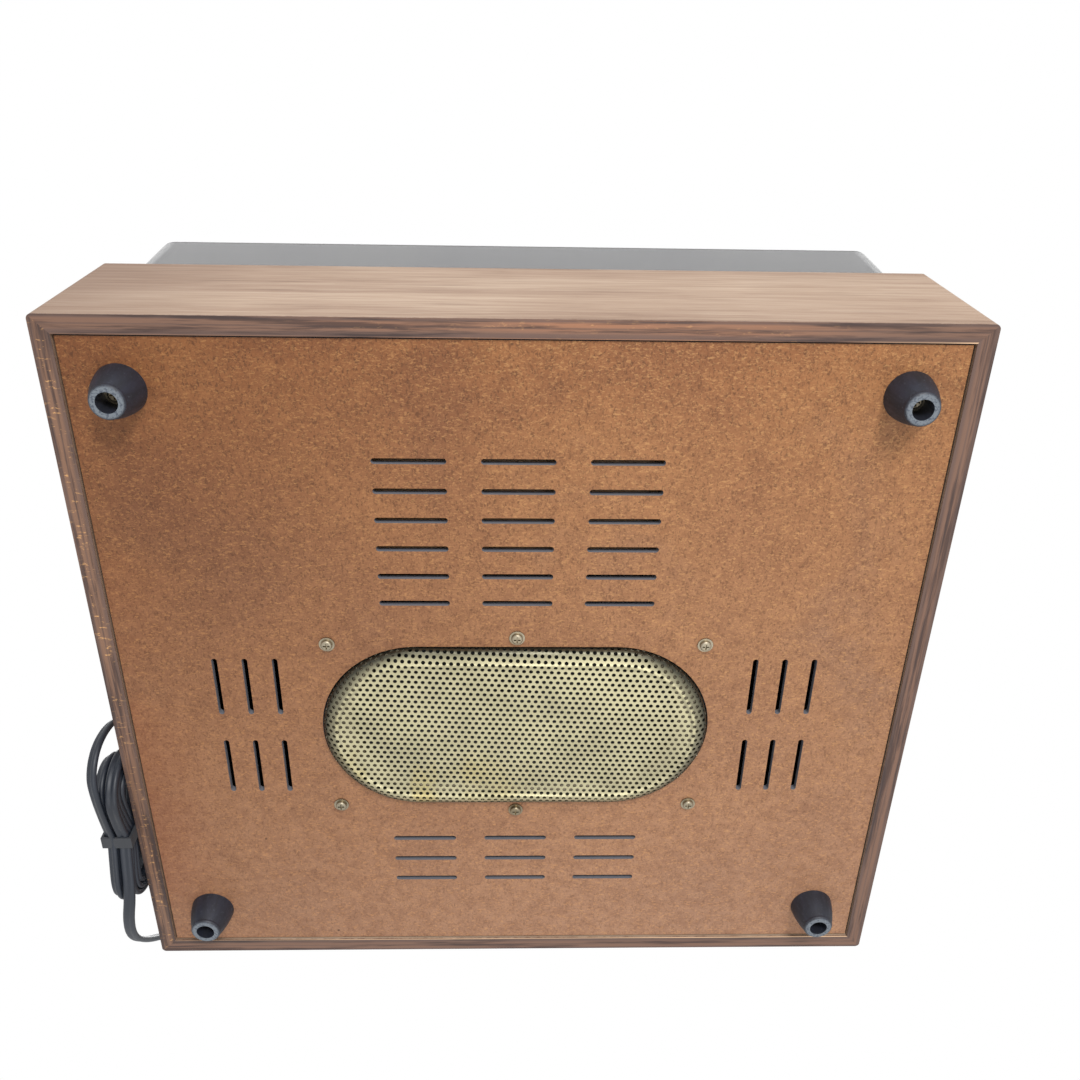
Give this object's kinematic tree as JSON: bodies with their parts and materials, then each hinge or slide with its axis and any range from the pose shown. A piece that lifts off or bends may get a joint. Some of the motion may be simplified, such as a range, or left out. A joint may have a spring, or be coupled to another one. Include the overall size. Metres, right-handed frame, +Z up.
{
  "type": "alarm clock radio",
  "caption": "Flat wooden alarm clock radio on rubber feet, with a down-firing speaker grille and vent slots under it and a hinged smoked cover on top.",
  "frame": {"origin": "centre of the footprint, on the surface that the feet stand on", "axes": "+X to the right seen from the front, +Y to the rear, +Z up"},
  "size_m": [0.3644, 0.3713, 0.1479],
  "materials": {
    "walnut": "open-grain walnut veneer, satin",
    "pine": "planed softwood",
    "hardboard": "smooth brown hardboard",
    "rubber": "moulded blue-black rubber",
    "zinc_steel": "yellow-zinc plated steel",
    "deck_black": "fine-textured black",
    "screw_black": "black screws",
    "smoked": "smoked clear plastic, gloss",
    "clear": "clear plastic, gloss",
    "bright_trim": "spun aluminium",
    "dial": "printed cream dial",
    "hands": "black hands",
    "accent": "red-orange",
    "switch_plastic": "ivory plastic",
    "brass": "brass wheels",
    "motor": "plated motor can",
    "board_green": "phenolic board",
    "components": "mixed components",
    "iron": "laminated iron",
    "paper": "pulp cone",
    "lead_vinyl": "flat twin vinyl lead",
    "tie": "paper-covered wire tie"
  },
  "bodies": {
    "cabinet": {"front_board": "walnut", "right_board": "walnut", "rear_board": "walnut", "left_board": "walnut", "corner_blocks": "pine", "base_panel": "hardboard", "rubber_feet": "rubber", "foot_washers": "zinc_steel", "foot_screws": "zinc_steel", "speaker_grille": "zinc_steel", "grille_washers": "zinc_steel", "grille_screws": "zinc_steel", "deck_plate": "deck_black", "deck_screws": "screw_black", "console": "deck_black", "clock_bezel": "bright_trim", "clock_lens": "clear", "scale_window": "clear", "hinge_brackets": "zinc_steel", "hinge_pins": "zinc_steel", "strain_relief": "lead_vinyl", "power_lead": "lead_vinyl", "plug_lead": "lead_vinyl", "cord_hank": "lead_vinyl", "cord_tie": "tie", "plug": "lead_vinyl", "movement_case": "deck_black", "clock_motor": "motor", "control_units": "deck_black", "tuning_gang": "zinc_steel", "scale_plate": "dial", "board_posts": "deck_black", "circuit_board": "board_green", "board_components": "components", "transformer": "iron", "ferrite_antenna": "iron", "speaker_gasket": "rubber", "speaker_frame": "zinc_steel", "speaker_magnet": "iron", "speaker_cone": "paper", "grille_nuts": "zinc_steel", "clock_dial": "dial"},
    "cover": {"dust_cover": "smoked", "cover_leaves": "zinc_steel"},
    "minute": {"minute_hand": "hands"},
    "hour": {"hour_hand": "hands", "hour_wheel": "brass"},
    "second": {"second_hand": "accent"},
    "alarm_pointer": {"alarm_hand": "accent", "alarm_wheel": "brass"},
    "time_set": {"time_set_knob": "bright_trim"},
    "alarm_set": {"alarm_set_knob": "bright_trim"},
    "volume": {"volume_knob": "bright_trim"},
    "selector": {"selector_knob": "bright_trim"},
    "tuning": {"tuning_knob": "bright_trim", "gang_rotor": "bright_trim"},
    "pointer": {"tuning_pointer": "accent"},
    "band": {"band_switch": "switch_plastic"},
    "alarm_on": {"alarm_switch": "switch_plastic"},
    "snooze": {"snooze_bar": "switch_plastic"}
  },
  "joints": [
    {"name": "cover_hinge", "type": "hinge", "parent": "cabinet", "child": "cover", "pos_m": [0, 0.155, 0.0965], "axis": [-1, 0, 0], "range_deg": [0, 78]},
    {"name": "minute_turn", "type": "hinge", "parent": "cabinet", "child": "minute", "pos_m": [-0.085, -0.04284, 0.11797], "axis": [0, 0.2079, -0.9781], "continuous": true},
    {"name": "hour_turn", "type": "hinge", "parent": "cabinet", "child": "hour", "pos_m": [-0.085, -0.04284, 0.11797], "axis": [0, 0.2079, -0.9781], "continuous": true},
    {"name": "second_turn", "type": "hinge", "parent": "cabinet", "child": "second", "pos_m": [-0.085, -0.04284, 0.11797], "axis": [0, 0.2079, -0.9781], "continuous": true},
    {"name": "time_set_turn", "type": "hinge", "parent": "cabinet", "child": "time_set", "pos_m": [-0.016, -0.09174, 0.10757], "axis": [0, 0.2079, -0.9781], "continuous": true},
    {"name": "alarm_set_turn", "type": "hinge", "parent": "cabinet", "child": "alarm_set", "pos_m": [-0.016, -0.06631, 0.11298], "axis": [0, 0.2079, -0.9781], "continuous": true},
    {"name": "alarm_pointer_turn", "type": "hinge", "parent": "cabinet", "child": "alarm_pointer", "pos_m": [-0.085, -0.04284, 0.11797], "axis": [0, 0.2079, -0.9781], "continuous": true},
    {"name": "volume_turn", "type": "hinge", "parent": "cabinet", "child": "volume", "pos_m": [0.022, -0.07609, 0.1109], "axis": [0, 0.2079, -0.9781], "range_deg": [0, 300]},
    {"name": "selector_turn", "type": "hinge", "parent": "cabinet", "child": "selector", "pos_m": [0.068, -0.07609, 0.1109], "axis": [0, 0.2079, -0.9781], "range_deg": [0, 120]},
    {"name": "tuning_turn", "type": "hinge", "parent": "cabinet", "child": "tuning", "pos_m": [0.114, -0.07609, 0.1109], "axis": [0, 0.2079, -0.9781], "range_deg": [0, 180]},
    {"name": "pointer_slide", "type": "slide", "parent": "cabinet", "child": "pointer", "axis": [1, 0, 0], "range_m": [0, 0.11]},
    {"name": "band_slide", "type": "slide", "parent": "cabinet", "child": "band", "axis": [1, 0, 0], "range_m": [0, 0.008]},
    {"name": "alarm_slide", "type": "slide", "parent": "cabinet", "child": "alarm_on", "axis": [1, 0, 0], "range_m": [0, 0.008]},
    {"name": "snooze_press", "type": "slide", "parent": "cabinet", "child": "snooze", "axis": [0, 0.2079, -0.9781], "range_m": [0, 0.0025], "stiffness_N_per_m": 400}
  ],
  "couplings": [
    {"joint": "hour_turn", "follows": "minute_turn", "ratio": 0.083333},
    {"joint": "second_turn", "follows": "minute_turn", "ratio": 60},
    {"joint": "time_set_turn", "follows": "minute_turn", "ratio": -3},
    {"joint": "alarm_pointer_turn", "follows": "alarm_set_turn", "ratio": -0.25},
    {"joint": "pointer_slide", "follows": "tuning_turn", "m_per_rad": 0.035014}
  ]
}
